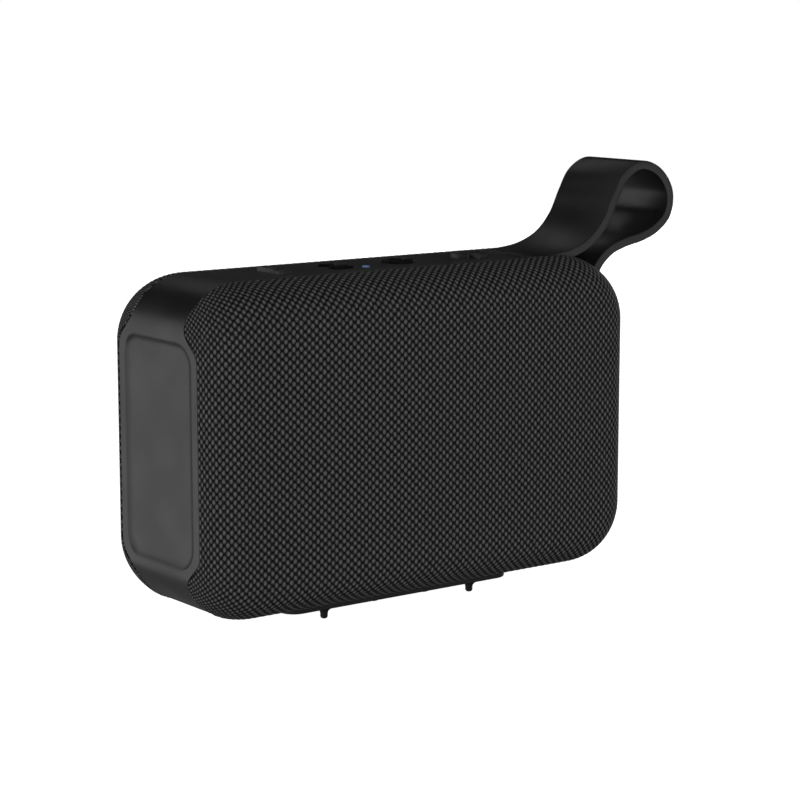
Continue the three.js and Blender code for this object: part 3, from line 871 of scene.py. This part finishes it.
def pad_piece(material):
    """The pad under the body, with its two ridges joined on."""
    low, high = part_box("base_pad")
    corner = 5 * MM
    outline = rounded(rectangle(high.x - low.x, high.y - low.y), corner)
    bottom = low.z - CENTRE.z + RIDGE["height"]
    pad = prism("underside_pad", outline, bottom, high.z - CENTRE.z, material)
    ridges = [pad_ridge(x, bottom, material) for x in (-RIDGE["x"], RIDGE["x"])]
    add_bevel(pad, 0.6 * MM, 4)
    apply_modifiers(pad)
    combine(pad, ridges, "UNION")
    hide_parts("base_pad")


def turned_piece(name, levels, x, y, material):
    """A round upright piece at (x, y), from (radius, height) levels."""
    sections = [[(a, b, z) for a, b in circle(radius, x, y)] for radius, z in levels]
    return new_piece(name, *loft(sections), material)


def foot_piece(name, material):
    """A peg with a rounded tip and a root that flares out under the pad."""
    low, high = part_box(name)
    x, y, root_radius = round_box(name)
    bottom, top = low.z - CENTRE.z, high.z - CENTRE.z
    waist_radius, tip_round = 1.15 * MM, 0.8 * MM
    levels = [
        (waist_radius - tip_round * (1 - cos(angle)), bottom + tip_round * (1 - sin(angle)))
        for angle in np.linspace(pi / 2, 0, 7)
    ]
    flare = np.linspace(0, 1, 10)[1:]
    rise = top - bottom - tip_round
    spread = root_radius - waist_radius
    levels += [(waist_radius + spread * t ** 4, bottom + tip_round + rise * t) for t in flare]
    foot = turned_piece(f"{name}_peg", levels, x, y, material)
    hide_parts(name)


def lens_piece(material):
    """The light's lens, a rod with a low dome on top."""
    low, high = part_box("status_light_lens")
    x, y, radius = round_box("status_light_lens")
    dome = 0.3 * MM
    shoulder = high.z - CENTRE.z - dome
    levels = [(radius, low.z - CENTRE.z), (radius, shoulder)]
    for angle in np.linspace(0.3, 1.45, 6):
        levels.append((radius * cos(angle), shoulder + dome * sin(angle)))
    lens = turned_piece("status_lens", levels, x, y, material)
    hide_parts("status_light_lens")


def port_window(grow):
    """The port cover's outline, as (y, z), wider on every side by grow."""
    low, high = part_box("port_cover")
    width, height = high.y - low.y, high.z - low.z
    middle = (low.z + high.z) / 2 - CENTRE.z
    return rounded(rectangle(width + 2 * grow, height + 2 * grow, 0, middle), 3 * MM + grow)


def port_cover_piece(material):
    """The sealing cover: a plug behind it fills the socket, and a groove near its top is the pull."""
    body = "port_flap"
    thickness, groove_drop, groove_depth = 1.6 * MM, 2.6 * MM, 0.6 * MM
    low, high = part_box("port_cover")
    outside, inside = high.x - CENTRE.x, high.x - thickness - CENTRE.x
    socket = (low.z + high.z) / 2 - CENTRE.z
    pull = high.z - CENTRE.z - groove_drop
    plug_outline = rounded(rectangle(7.6 * MM, 1.9 * MM, 0, socket), 0.9 * MM)
    groove_outline = rounded(rectangle(9 * MM, 1.4 * MM, 0, pull), 0.6 * MM)
    cover = prism("port_flap_cover", port_window(0), inside, outside, material, body, "x")
    plug = prism("plug", plug_outline, low.x - CENTRE.x, inside + 0.2 * MM, material, body, "x")
    groove = prism("groove", groove_outline, outside - groove_depth, outside + MM, material, body, "x")
    combine(cover, [plug], "UNION")
    combine(cover, [groove], "DIFFERENCE")
    add_bevel(cover, 0.25 * MM)
    apply_modifiers(cover)
    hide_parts("port_cover")


# Assembly.

def build_band(material):
    """The band with its holes cut and the loop's strap joined on."""
    band = band_piece(material)
    through_top = (BAND_TOP - 4 * MM, BAND_TOP + 4 * MM)
    through_end = (END_FACE - 6 * MM, END_FACE + 4 * MM)
    cutters = []
    for name in KEYS:
        cutters += key_prisms(name, GAP / MM, *through_top, material)
    x, y, radius = round_box("status_light_lens")
    cutters.append(prism("lens_hole", circle(radius + GAP, x, y), *through_top, material))
    cutters.append(prism("port_hole", port_window(GAP), *through_end, material, axis="x"))
    combine(band, cutters, "DIFFERENCE")
    combine(band, [strap_piece(material)], "UNION")
    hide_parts("silicone_band")


def paint_nodes(paints):
    """Gives every CAD node the finish of its slot."""
    for subpart in frame["record"]["subparts"]:
        node = NODES[subpart["node"]]
        node.data.materials.clear()
        node.data.materials.append(paints[subpart["material_slot"]])
        shade(node, SHARP_ANGLE)


def make_paints():
    """The finish of each material slot in the record."""
    silicone = moulded("band_silicone", (0.012, 0.012, 0.0125), 0.4, depth=0.004 * MM, spread=0.05)
    case = moulded("case_plastic", (0.03, 0.03, 0.032), 0.55)
    steel = metal("plated_steel", (0.5, 0.5, 0.52), 0.35)
    return {
        "band_silicone": silicone,
        "woven_fabric": woven_cover_paint(),
        "grille_plastic": case,
        "case_plastic": case,
        "seal_rubber": moulded("seal_rubber", (0.012, 0.012, 0.012), 0.8),
        "button_silicone": moulded("raised_key", (0.012, 0.012, 0.0125), 0.4),
        "pad_silicone": moulded("pad_silicone", (0.03, 0.03, 0.031), 0.6, specular=0.2),
        "foot_rubber": moulded("foot_rubber", (0.012, 0.012, 0.012), 0.65, specular=0.2),
        "radiator_metal": metal("weight_plate", (0.2, 0.2, 0.21), 0.4, stretch=(1, 1, 12)),
        "battery_wrap": moulded("battery_wrap", (0.05, 0.14, 0.3), 0.3),
        "board": circuit_board_paint(),
        "chip_plastic": moulded("chip_package", (0.015, 0.015, 0.016), 0.45),
        "shield_metal": metal("stamped_shield", (0.6, 0.6, 0.62), 0.3, stretch=(10, 1, 1)),
        "switch_metal": metal("switch_frame", (0.4, 0.4, 0.42), 0.35),
        "led_emitter": moulded("led_body", (0.7, 0.73, 0.78), 0.3),
        "light_lens": lamp_paint(),
        "lead_insulation": moulded("lead_insulation", (0.3, 0.02, 0.02), 0.45),
        "screw_steel": steel,
        "basket_metal": moulded("coated_basket", (0.02, 0.02, 0.021), 0.4),
        "yoke_steel": steel,
        "magnet_nickel": metal("nickel", (0.6, 0.58, 0.54), 0.2),
        "coil_copper": wound_coil_paint(),
        "spider_cloth": spider_cloth_paint(),
        "cone_pulp": moulded("cone_pulp", (0.02, 0.02, 0.022), 0.85, grain=0.8 * MM, depth=0.08 * MM),
    }


add_camera()
add_stage()

# The panels stand where the silicone mirrors them to the camera. The key, low_left and overhead
# lights show the cloth and the top, and the fill is for views of the right-hand end and the back.
add_area_light("front_key", -12, 28, 1.4, (0.8, 0.8), 7.5)
add_area_light("low_left", -65, -32, 1.2, (0.9, 0.9), 4)
add_area_light("left_panel", -126, -2, 1.2, (1.6, 1.15), 6.5)
add_area_light("low_rear_panel", -172, -36, 1.2, (1.2, 0.8), 0.6)
add_area_light("right_panel", 37, -9.5, 1.2, (0.85, 0.85), 2.2)
add_area_light("rear_panel", 158, 40, 1.2, (0.6, 0.5), 0.3)
add_area_light("overhead", -120, 60, 1.4, (1.2, 1.2), 1.2)
add_area_light("right_rear_fill", 116, -4, 1.4, (0.8, 0.9), 11)

paints = make_paints()
paint_nodes(paints)
build_band(paints["band_silicone"])
# The play and power keys use a darker, duller copy of the key silicone: painted shade on these low
# keys, which are the same rubber as the others.
flush_key = moulded("flush_key", (0.003, 0.003, 0.0032), 0.6, specular=0.12)
for key_name in KEYS:
    key_piece(key_name, flush_key if key_name in ("play", "power") else paints["button_silicone"])
for cover_name, cover_side in (("front", -1), ("rear", 1)):
    cover_piece(cover_name, cover_side, paints["woven_fabric"])
pad_piece(paints["pad_silicone"])
for foot_row in ("front", "rear"):
    for foot_side in ("left", "right"):
        foot_piece(f"{foot_row}_{foot_side}_foot", paints["foot_rubber"])
lens_piece(paints["light_lens"])
port_cover_piece(paints["band_silicone"])
